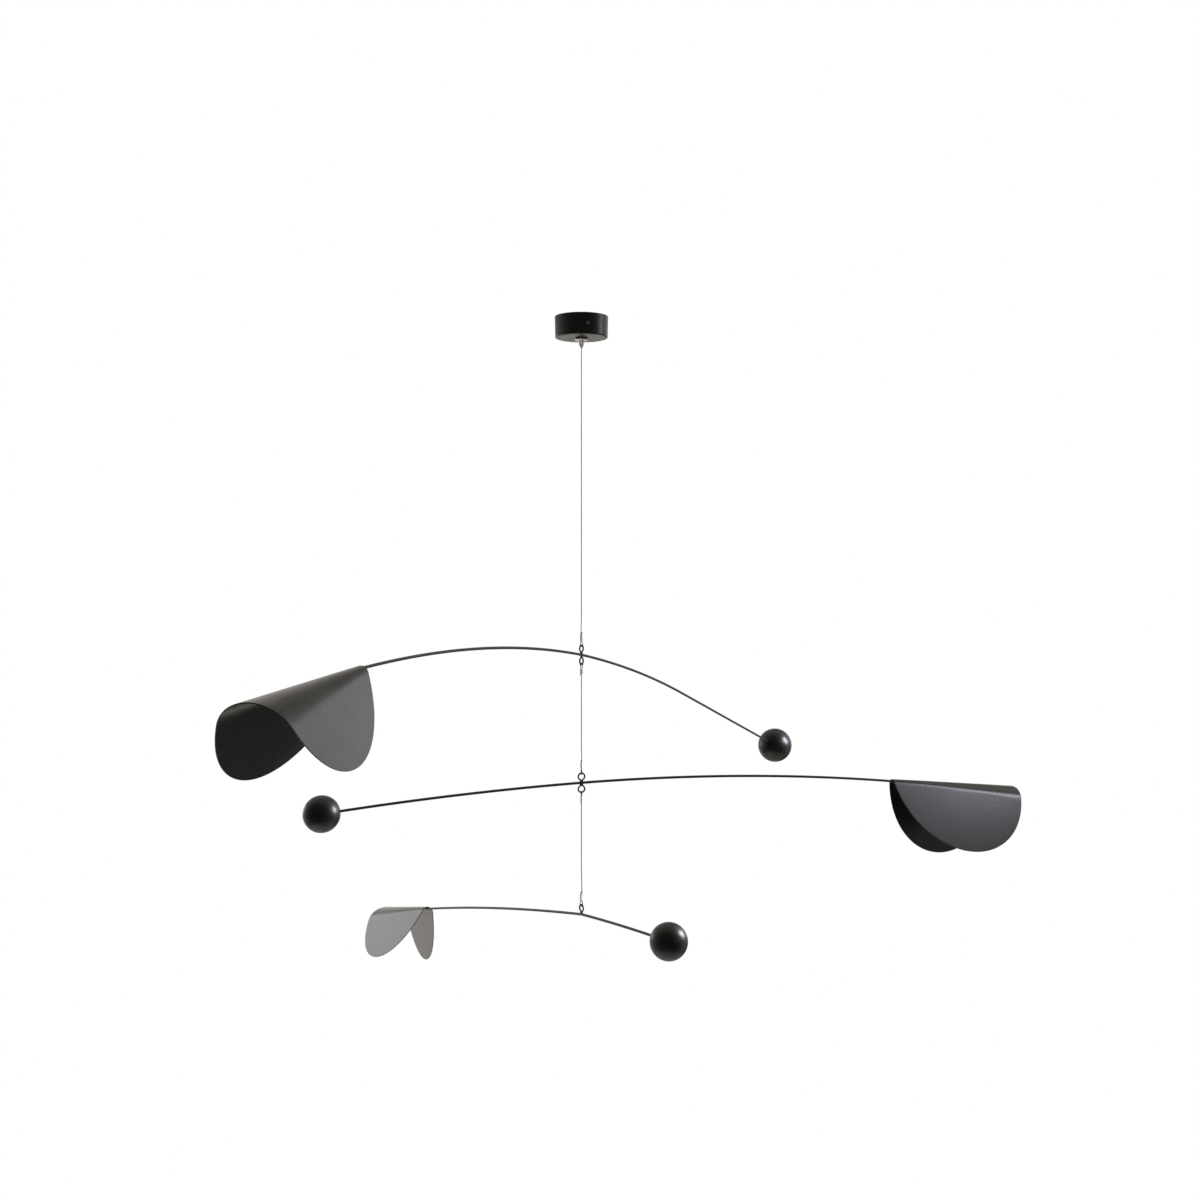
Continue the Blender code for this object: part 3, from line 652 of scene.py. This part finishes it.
# %% [markdown]
# ## The ferrules
# A ferrule is a short oval sleeve of soft plated copper. It is slipped over both strands and squeezed
# in a hand press, which leaves two shallow waists across its flat sides and pushes the metal out a
# little at its narrow sides.

# %% Press the ferrules
FERRULES = (("upper", "top_rope_ferrule", 1), ("upper", "middle_rope_top_ferrule", -1),
            ("middle", "middle_rope_ferrule", 1), ("middle", "lower_rope_top_ferrule", -1),
            ("lower", "lower_rope_ferrule", 1))


def ferrule_rings():
    """Rings of the sleeve, from its lower edge out, up, over its top and down through the slot.

    A ring is an oval, a half circle of radius r beyond each strand. Between 0 and 1 along the
    sleeve, each press bite takes 16% of the thickness away as exp(-((h - bite) / 0.13)^2).
    """
    slot, outer, edge = ROPE + GAP, ROPE + GAP + 0.0005, 0.00018
    height = np.linspace(edge, FERRULE - edge, 40)
    outside = np.stack([np.full(40, outer), height], -1)
    low = arc_points((outer - edge, edge), edge, -90, -10, 5)
    high = arc_points((outer - edge, FERRULE - edge), edge, 10, 90, 5)
    inside = np.stack([np.full(8, slot), np.linspace(FERRULE - 0.0001, 0.0001, 8)], -1)
    profile = np.vstack([low, outside, high, inside])
    share = profile[:, 1] / FERRULE
    bite = 0.16 * (np.exp(-((share - 0.3) / 0.13) ** 2) + np.exp(-((share - 0.7) / 0.13) ** 2))
    bite = np.where(profile[:, 0] > slot + 1e-5, bite, 0.0)[:, None]
    angle = np.linspace(-np.pi / 2, 3 * np.pi / 2, 48, endpoint=False)
    right = (angle < np.pi / 2)[None]
    thick = profile[:, :1] * np.sin(angle) * (1 - bite)
    wide = profile[:, :1] * np.cos(angle) * (1 + 0.25 * bite) + np.where(right, STRAND, -STRAND)
    return thick, wide, profile[:, 1:2] + 0 * angle


thick, wide, tall = ferrule_rings()
for arm_name, node_name, side in FERRULES:
    rings = np.stack([thick, wide, side * (EYE_REACH + LOOP + tall)], -1)
    sleeve = ring_mesh(node_name + "_pressed", to_world(ARMS[arm_name], rings), wrap=True, sharp_deg=60)
    stands_for(sleeve, node_name, "pressed_plated_sleeve")
print("a ferrule is", round(float(np.ptp(wide)) * 1000, 2), "by",
      round(float(np.ptp(thick)) * 1000, 2), "mm")

# %% [markdown]
# ## The canopy
# The canopy is a deep-drawn steel cup, a little wider at the ceiling than at its foot, with a rounded
# lower corner. It is a profile turned about the rope's line: up the outside, over the rim, down the
# inside and across the floor to the hole in its middle. The hole for its set screw is then cut with a
# round cutter, which is thrown away once the cut is made.

# %% Turn the canopy and cut its screw hole
STUB, CANOPY_TOP, CANOPY_FOOT, CANOPY_CORNER = 0.004, 0.0306, 0.030, 0.0012
INNER_CORNER, RIM_ROUND, EASE = 0.001, 0.0004, 0.0002
floor_hole = STUB + GAP
inner_wall, inner_floor = CANOPY_FOOT - CANOPY_WALL, -CANOPY_TALL + CANOPY_WALL
wall_up = np.linspace(-CANOPY_TALL + CANOPY_CORNER, -RIM_ROUND, 40)
flare = (wall_up + CANOPY_TALL) / CANOPY_TALL * (CANOPY_TOP - CANOPY_FOOT)
floor_out = np.linspace(floor_hole + 0.002, CANOPY_FOOT - CANOPY_CORNER - 0.001, 12)
profile = np.vstack([
    arc_points((floor_hole + EASE, -CANOPY_TALL + EASE), EASE, 180, 270, 4),
    np.stack([floor_out, np.full(12, -CANOPY_TALL)], -1),
    arc_points((CANOPY_FOOT - CANOPY_CORNER, -CANOPY_TALL + CANOPY_CORNER), CANOPY_CORNER, -90, -4, 9),
    np.stack([CANOPY_FOOT + flare, wall_up], -1),
    arc_points((CANOPY_TOP - RIM_ROUND, -RIM_ROUND), RIM_ROUND, 5, 90, 4),
    [[CANOPY_TOP - CANOPY_WALL + EASE, 0.0], [CANOPY_TOP - CANOPY_WALL, -0.0003]],
    arc_points((inner_wall - INNER_CORNER, inner_floor + INNER_CORNER), INNER_CORNER, 0, -90, 6),
    [[floor_hole + EASE, inner_floor], [floor_hole, inner_floor - EASE]]])
canopy = ring_mesh("canopy_cup", lathe_rings(profile, 144), wrap=True, sharp_deg=32)

SCREW_DROP, SCREW_BEARING = 0.0117, -74.7
turn = math.radians(SCREW_BEARING)
outwards = np.array([math.cos(turn), math.sin(turn), 0.0])
screw_reach = CANOPY_FOOT + (CANOPY_TOP - CANOPY_FOOT) * (1 - SCREW_DROP / CANOPY_TALL)
screw_mouth = outwards * screw_reach - UP * SCREW_DROP


def at_screw(points):
    """Lays points on the screw's line: their +Z leads outwards, and 0 is the canopy's face."""
    return points @ toward(outwards) + screw_mouth


DRILL = np.array([[0.0023, -0.008], [0.0023, -0.0004], [0.0027, 0.0002], [0.0027, 0.004]])
drill = ring_mesh("screw_drill", at_screw(lathe_rings(DRILL, 40)),
                  poles=at_screw(DRILL[[0, -1], 1:] * UP))
cut = canopy.modifiers.new("screw hole", "BOOLEAN")
cut.operation, cut.solver, cut.object = "DIFFERENCE", "EXACT", drill
bpy.context.view_layer.update()
cup = bpy.data.meshes.new_from_object(canopy.evaluated_get(bpy.context.evaluated_depsgraph_get()))
canopy.modifiers.clear()
canopy.data = cup
cup.shade_smooth()
cup.set_sharp_from_angle(angle=math.radians(32))
bpy.data.objects.remove(drill, do_unlink=True)
stands_for(canopy, "canopy", "powder_coated_canopy")
print("canopy has", len(cup.polygons), "faces after the cut")

# %% [markdown]
# ## The set screw and the cable gripper
# The set screw is a zinc-plated steel screw with a six-sided socket. Its rings change from a circle to
# a hexagon, whose radius is the half width over the cosine of the angle from the nearest flat. The
# gripper is turned brass, nickel plated: a flange with a full round edge, a short barrel and a
# tapered nose through which the rope runs.

# %% Make the set screw and the gripper
def hexagon(angle):
    """Distance to the side of a hexagon of half width 1: 1 / cos(angle from the nearest flat)."""
    return 1 / np.cos((angle + np.pi / 6) % (np.pi / 3) - np.pi / 6)


SINK = 0.0005
CIRCLE_ROWS = np.array([[0.0017, -0.006], [0.002, -0.0056], [0.002, -0.00025], [0.0018, 0.0]])
SOCKET_ROWS = np.array([[0.00108, 0.0], [0.001, -0.0001], [0.001, -0.0018]])
angle = full_turn(72)
reach = np.vstack([CIRCLE_ROWS[:, :1] + 0 * angle, SOCKET_ROWS[:, :1] * hexagon(angle)])
level = np.vstack([CIRCLE_ROWS, SOCKET_ROWS])[:, 1:] - SINK + 0 * angle
rings = np.stack([reach * np.cos(angle), reach * np.sin(angle), level], -1)
ends = np.array([[-0.006 - SINK], [-0.0021 - SINK]]) * UP
screw = ring_mesh("set_screw_socket", at_screw(rings), poles=at_screw(ends), sharp_deg=25)
stands_for(screw, "set_screw", "zinc_plated_screw")

FLANGE, FLANGE_THICK, BARREL, BARREL_LONG, NOSE, NOSE_LONG = 0.0075, 0.0026, 0.0029, 0.0044, 0.0014, 0.004
flange_top = -CANOPY_TALL - GAP
flange_low = flange_top - FLANGE_THICK
barrel_low = flange_low - BARREL_LONG
nose_low = barrel_low - NOSE_LONG
stub_top = inner_floor + STUB_RISE
bore = ROPE + GAP
half = FLANGE_THICK / 2
neck = BARREL - 0.00025
share = np.array([[0.25], [0.5], [0.75], [0.94]])
profile = np.vstack([
    [[bore, nose_low + EASE], [bore + EASE, nose_low], [NOSE - EASE, nose_low], [NOSE, nose_low + EASE]],
    np.hstack([NOSE + (BARREL - NOSE) * share ** 0.8, nose_low + NOSE_LONG * share]),
    [[BARREL, barrel_low + EASE], [BARREL, flange_low + 0.0011], [neck, flange_low + 0.0009],
     [neck, flange_low + 0.0004], [BARREL, flange_low + EASE], [BARREL + 0.0003, flange_low]],
    arc_points((FLANGE - half, flange_low + half), half, -88, 88, 19),
    [[STUB, flange_top], [STUB, stub_top - EASE], [STUB - EASE, stub_top], [bore, stub_top]]])
gripper = ring_mesh("gripper_turned", lathe_rings(profile, 96), wrap=True, sharp_deg=30)
stands_for(gripper, "cable_gripper", "nickel_plated_turning")
print("gripper reaches down to", round(nose_low * 1000, 1), "mm")

# %% [markdown]
# ## Paint, in several films
# The mobile is painted black, but the photograph shows everything from near black to mid grey. That
# is what a satin film does: it sends little light back when seen straight on, and more and more as
# the view grazes it. So the colour stays nearly black everywhere, and the roughness and the bright
# surroundings make the greys. Each film differs in its texture: powder coat has a fine orange peel,
# sprayed sheet a softer one, and thin paint on drawn wire still shows the wire's long grain.
#
# Most films are mottled: slow patches swing their colour and their gloss together, and the patches,
# or finer dimples, raise them by some thousandths of a millimetre. One recipe holds that.

# %% One recipe for mottled films
def fresh_tree(name):
    """Empties a material's tree. Returns it and the place of each point on the piece."""
    film = bpy.data.materials.get(name) or bpy.data.materials.new(name)
    film.use_nodes = True
    tree = film.node_tree
    tree.nodes.clear()
    return tree, node(tree, "ShaderNodeTexCoord").outputs["Object"]


def shade(tree, **sockets):
    """Ends a tree with a Principled shader, whose sockets are given by name. Returns the shader."""
    shader = node(tree, "ShaderNodeBsdfPrincipled", **sockets)
    node(tree, "ShaderNodeOutputMaterial", Surface=shader.outputs["BSDF"])
    return shader


def mottled(name, dark, light, gloss, patch, detail, rough, relief=None, dimple=None, **sockets):
    """A film whose noise swings its colour from dark to light and its roughness over gloss.

    patch is the length of the noise's patches and relief the height of the bumps, in metres. dimple
    gives the bumps a length and a detail of their own. Returns the tree, the place and the shader.
    """
    tree, place = fresh_tree(name)
    cloud = node(tree, "ShaderNodeTexNoise", Vector=place, Scale=1 / patch, Detail=detail,
                 Roughness=rough).outputs["Fac"]
    tone = node(tree, "ShaderNodeMix", {"data_type": "RGBA"}, i0=cloud, i6=linear(dark),
                i7=linear(light))
    dull = node(tree, "ShaderNodeMapRange", Value=cloud, From_Min=0.3, From_Max=0.7, To_Min=gloss[0],
                To_Max=gloss[1])
    if dimple:
        cloud = node(tree, "ShaderNodeTexNoise", Vector=place, Scale=1 / dimple[0],
                     Detail=dimple[1]).outputs["Fac"]
    if relief:
        raised = node(tree, "ShaderNodeBump", Height=cloud, Distance=relief)
        sockets["Normal"] = raised.outputs["Normal"]
    shader = shade(tree, Base_Color=tone.outputs[2], Roughness=dull.outputs["Result"], **sockets)
    return tree, place, shader


print("the recipe for mottled films is ready")

# %% [markdown]
# ### Sprayed sheet
# Satin enamel sprayed on cold-rolled steel. The spray gun leaves a soft orange peel with dimples
# about 1.5 mm across, and cloudy patches a few centimetres wide where the film is thicker or
# thinner. Within 1.2 mm of the edge the colour darkens towards near black, which draws a thin dark
# line round each leaf.

# %% Material of the leaves
tree, place = fresh_tree("sprayed_sheet")
cloud = node(tree, "ShaderNodeTexNoise", Vector=place, Scale=1 / 0.045, Detail=3.0, Roughness=0.55)
speck = node(tree, "ShaderNodeTexNoise", Vector=place, Scale=1 / 0.012, Detail=4.0, Roughness=0.6)
peel = node(tree, "ShaderNodeTexNoise", Vector=place, Scale=1 / 0.0015, Detail=1.0)
rim = node(tree, "ShaderNodeAttribute", {"attribute_name": "rim"})
film = node(tree, "ShaderNodeMapRange", Value=cloud.outputs["Fac"], From_Min=0.3, From_Max=0.7)
edge = node(tree, "ShaderNodeMapRange", Value=rim.outputs["Fac"], From_Min=0.45)
dull = node(tree, "ShaderNodeMapRange", Value=speck.outputs["Fac"], From_Min=0.3, From_Max=0.75,
            To_Min=0.255, To_Max=0.285)
tone = node(tree, "ShaderNodeMix", {"data_type": "RGBA"}, i0=film.outputs["Result"],
            i6=linear("#131211"), i7=linear("#1d1c1b"))
# The colour darkens towards near black within 1.2 mm of the edge.
rimmed = node(tree, "ShaderNodeMix", {"data_type": "RGBA"}, i0=edge.outputs["Result"], i6=tone.outputs[2],
              i7=linear("#0b0a09"))
soft = node(tree, "ShaderNodeBump", Height=cloud.outputs["Fac"], Distance=0.00006)
fine = node(tree, "ShaderNodeBump", Height=peel.outputs["Fac"], Distance=0.0000008,
            Normal=soft.outputs["Normal"])
shade(tree, Base_Color=rimmed.outputs[2], Roughness=dull.outputs["Result"], Normal=fine.outputs["Normal"])
print("sprayed_sheet has a peel of 1.5 mm dimples")

# %% [markdown]
# ### Powder coat, ball enamel, painted wire and welds
# Powder melts in the oven to a tough film with a finer, sharper peel, about 0.6 mm. The ball's enamel
# is smoother and a little glossier. The eyelets are only blackened by heat and oil, so they shine
# least. Weld under paint is lumpy. On the wire, faint lines run along its length: the grain follows
# the rod's own UV map, stretched forty times longer than it is wide.

# %% Materials of canopy, balls, eyelets, welds and wire
mottled("powder_coated_canopy", "#100e0b", "#1a1713", (0.34, 0.44), 0.009, 3.0, 0.5, 0.000012,
        (0.0006, 2.0))
mottled("satin_painted_ball", "#080706", "#100e0c", (0.31, 0.39), 0.006, 3.0, 0.6, 0.000005,
        (0.0012, 1.0))
mottled("blackened_eyelet", "#080706", "#14100d", (0.52, 0.7), 0.0009, 3.0, 0.6, 0.00003,
        Specular_IOR_Level=0.2)
mottled("painted_weld", "#100f0d", "#262320", (0.38, 0.55), 0.0007, 3.0, 0.65, 0.00006)

tree, place = fresh_tree("drawn_wire_painted")
drawn = node(tree, "ShaderNodeMapping", Vector=place.node.outputs["UV"], Scale=(0.025, 1.0, 1.0))
lines = node(tree, "ShaderNodeTexNoise", Vector=drawn.outputs["Vector"], Scale=1 / 0.0004, Detail=3.0,
             Roughness=0.6).outputs["Fac"]
cloud = node(tree, "ShaderNodeTexNoise", Vector=place, Scale=1 / 0.02, Detail=3.0)
tone = node(tree, "ShaderNodeMix", {"data_type": "RGBA"}, i0=cloud.outputs["Fac"], i6=linear("#151311"),
            i7=linear("#242120"))
dull = node(tree, "ShaderNodeMapRange", Value=lines, From_Min=0.3, From_Max=0.7, To_Min=0.36, To_Max=0.46)
raised = node(tree, "ShaderNodeBump", Height=lines, Distance=0.0000025)
shade(tree, Base_Color=tone.outputs[2], Roughness=dull.outputs["Result"], Normal=raised.outputs["Normal"])
print("five dark finishes made")

# %% [markdown]
# ## Bare metals
# Four metals are left bare. Stainless rope is bright on its crowns and dark in its grooves, where oil
# and shadow gather; the groove attribute made with the lobes carries that. The ferrule's plating is
# rubbed by the press and has dulled, so it is only partly a mirror. The gripper has fine turning
# lines 0.3 mm apart. Zinc plate is cloudy, on the ceiling plate as on the set screw.

# %% Materials of the bare metals
tree, place = fresh_tree("laid_stainless_rope")
groove = node(tree, "ShaderNodeAttribute", {"attribute_name": "groove"})
deep = node(tree, "ShaderNodeMapRange", Value=groove.outputs["Fac"], From_Min=0.25)
tone = node(tree, "ShaderNodeMix", {"data_type": "RGBA"}, i0=deep.outputs["Result"], i6=linear("#94938f"),
            i7=linear("#2a2927"))
worn = node(tree, "ShaderNodeTexNoise", Vector=place, Scale=1 / 0.002, Detail=3.0)
dull = node(tree, "ShaderNodeMapRange", Value=worn.outputs["Fac"], From_Min=0.3, From_Max=0.7,
            To_Min=0.26, To_Max=0.4)
shade(tree, Base_Color=tone.outputs[2], Roughness=dull.outputs["Result"], Metallic=1.0)

mottled("pressed_plated_sleeve", "#dcdddd", "#eeefef", (0.58, 0.72), 0.0012, 4.0, 0.6, 0.000006,
        Metallic=0.25)
mottled("zinc_plated_plate", "#8f928f", "#b4b6b3", (0.32, 0.5), 0.004, 4.0, 0.6, 0.00001, Metallic=1.0)
mottled("zinc_plated_screw", "#a2a5a2", "#cccecb", (0.4, 0.6), 0.0008, 4.0, 0.6, 0.00001, Metallic=1.0)

TURNING_PITCH = 0.0003
tree, place, shader = mottled("nickel_plated_turning", "#d0ccc4", "#e4e0d8", (0.28, 0.42), 0.002, 3.0,
                              0.5, Metallic=0.75)
lines = node(tree, "ShaderNodeTexWave", {"wave_type": "BANDS", "bands_direction": "Z"}, Vector=place,
             Scale=2 * math.pi / 20 / TURNING_PITCH, Distortion=0.6, Detail=1.0)
raised = node(tree, "ShaderNodeBump", Height=lines.outputs["Fac"], Distance=0.000004)
tree.links.new(raised.outputs["Normal"], shader.inputs["Normal"])

plate = frame["nodes"]["ceiling_plate"]
plate.data.materials.clear()
plate.data.materials.append(bpy.data.materials["zinc_plated_plate"])
print("bare metals made; the ceiling plate keeps its own mesh")

# %% [markdown]
# ## Floor, air and light
# The pictures of black objects are made by what they reflect. Behind the mobile everything is bright,
# and in front of it all is dark. Six soft patches make the air brighter or darker where a leaf or the
# canopy looks, while the camera always sees plain white behind. Six soft lights do the rest: a window
# high on the right, a lamp for the glint on the balls, one that draws the line along the middle
# leaf's bend, a card at the back left, a panel overhead and a weak lamp in front for the small metal
# fittings. Light linking says which pieces a lamp may reach: the middle leaf and the canopy are in
# the window's shade, and the glint and the front lamp are for their own pieces only.

# %% Build the studio
FLOOR_LEVEL = -2.4
FLOOR_ROWS = np.array([[0.5, 0.0], [1.2, 0.0], [2.0, 0.0], [2.02, -0.01], [2.0, -0.04], [0.5, -0.04]])
floor = ring_mesh("studio_floor", lathe_rings(FLOOR_ROWS, 96) + UP * FLOOR_LEVEL,
                  poles=(UP * FLOOR_LEVEL, UP * (FLOOR_LEVEL - 0.04)))
tree, place = fresh_tree("painted_studio_floor")
cloud = node(tree, "ShaderNodeTexNoise", Vector=place, Scale=1 / 0.3, Detail=2.0)
tone = node(tree, "ShaderNodeMix", {"data_type": "RGBA"}, i0=cloud.outputs["Fac"], i6=linear("#f1f1ef"),
            i7=linear("#f7f7f5"))
shade(tree, Base_Color=tone.outputs[2], Roughness=0.6)
floor.data.materials.append(bpy.data.materials["painted_studio_floor"])

world = bpy.data.worlds.new("studio_air")
bpy.context.scene.world = world
world.use_nodes = True
air = world.node_tree
air.nodes.clear()
look = node(air, "ShaderNodeTexCoord").outputs["Generated"]
parts = node(air, "ShaderNodeSeparateXYZ", Vector=look)
level = node(air, "ShaderNodeMapRange", {"interpolation_type": "SMOOTHSTEP"}, Value=parts.outputs["Y"],
             From_Min=-0.6, From_Max=0.5, To_Min=0.09, To_Max=0.58).outputs["Result"]
CARDS = (((0.52, 0.68, -0.51), 12, 27, -0.5), ((-0.15, 0.98, -0.05), 8, 30, 0.35),
         ((-0.54, 0.78, -0.32), 8, 24, 0.22), ((0.26, 0.79, 0.55), 6, 24, -0.3),
         ((0.68, 0.34, 0.65), 8, 26, 0.22), ((0.58, 0.80, 0.11), 7, 18, 0.72))
for toward_card, inner, outer, strength in CARDS:
    aim = node(air, "ShaderNodeVectorMath", {"operation": "DOT_PRODUCT"}, i0=look, i1=toward_card)
    card = node(air, "ShaderNodeMapRange", {"interpolation_type": "SMOOTHSTEP"},
                Value=aim.outputs["Value"], From_Min=math.cos(math.radians(outer)),
                From_Max=math.cos(math.radians(inner)), To_Max=strength).outputs["Result"]
    level = node(air, "ShaderNodeMath", {"operation": "ADD"}, i0=level, i1=card).outputs["Value"]
# The last patch is also a little bluer than the rest of the air.
tint = node(air, "ShaderNodeMix", {"data_type": "RGBA"}, i0=card, i6=linear("#fff9f0"),
            i7=linear("#eff1ff"))
lit = node(air, "ShaderNodeBackground", Strength=level, Color=tint.outputs[2])
seen = node(air, "ShaderNodeBackground", Strength=1.0, Color=linear("#ffffff"))
ray = node(air, "ShaderNodeLightPath").outputs["Is Camera Ray"]
both = node(air, "ShaderNodeMixShader", i0=ray, i1=lit.outputs[0], i2=seen.outputs[0])
node(air, "ShaderNodeOutputWorld", Surface=both.outputs[0])


def softbox(name, place, target, width, height, power, colour):
    """A rectangular light at a place, facing a target, that no camera sees itself."""
    data = bpy.data.lights.new(name, "AREA")
    data.shape = "RECTANGLE"
    data.size, data.size_y = width, height
    data.energy = power
    data.color = linear(colour)[:3]
    lamp = bpy.data.objects.new(name, data)
    lamp.location = place
    lamp.rotation_euler = (Vector(target) - Vector(place)).to_track_quat("-Z", "Y").to_euler()
    lamp.visible_camera = False
    bpy.context.scene.collection.objects.link(lamp)
    return lamp


def link_light(lamp, names, state):
    """INCLUDE lets the lamp light the named pieces alone, EXCLUDE everything but them."""
    group = bpy.data.collections.new(lamp.name + "_pieces")
    for name in names:
        group.objects.link(bpy.data.objects[name])
    lamp.light_linking.receiver_collection = group
    for entry in group.collection_objects:
        entry.light_linking.link_state = state


window = softbox("window_light", (3.6, 0.56, 0.95), (0.0, 0.0, -0.75), 0.8, 1.3, 20.0, "#f6f7ff")
window.data.spread = math.radians(36)
window.visible_glossy = False
link_light(window, ["middle_leaf_sheet", "canopy_cup"], "EXCLUDE")
glint = softbox("ball_light", (1.38, 0.31, -0.02), (0.1, 0.0, -0.65), 0.42, 0.6, 32.0, "#f1f2ff")
link_light(glint, [arm_name + "_ball_turned" for arm_name in ARMS], "INCLUDE")
front = softbox("fitting_light", (-0.5, -1.7, 0.2), (0.0, 0.0, -0.4), 1.0, 1.0, 6.0, "#f8f8ff")
sleeves = [node_name + "_pressed" for _, node_name, _ in FERRULES]
link_light(front, ["gripper_turned"] + sleeves, "INCLUDE")
softbox("edge_light", (1.70, 0.13, 0.34), (0.5, 0.1, -0.5), 0.2, 0.26, 3.5, "#eef0ff")
softbox("left_card", (-1.52, 1.31, -0.5), (-0.25, 0.4, -0.72), 1.1, 0.55, 3.5, "#f6f8ff")
overhead = softbox("overhead_light", (-0.2, 0.3, 1.7), (0.0, 0.0, -2.4), 2.2, 2.2, 60.0, "#fffaf2")
overhead.visible_glossy = False
bpy.context.scene.view_settings.view_transform = "Standard"
print("studio has six soft lights and a floor", -FLOOR_LEVEL, "m down")
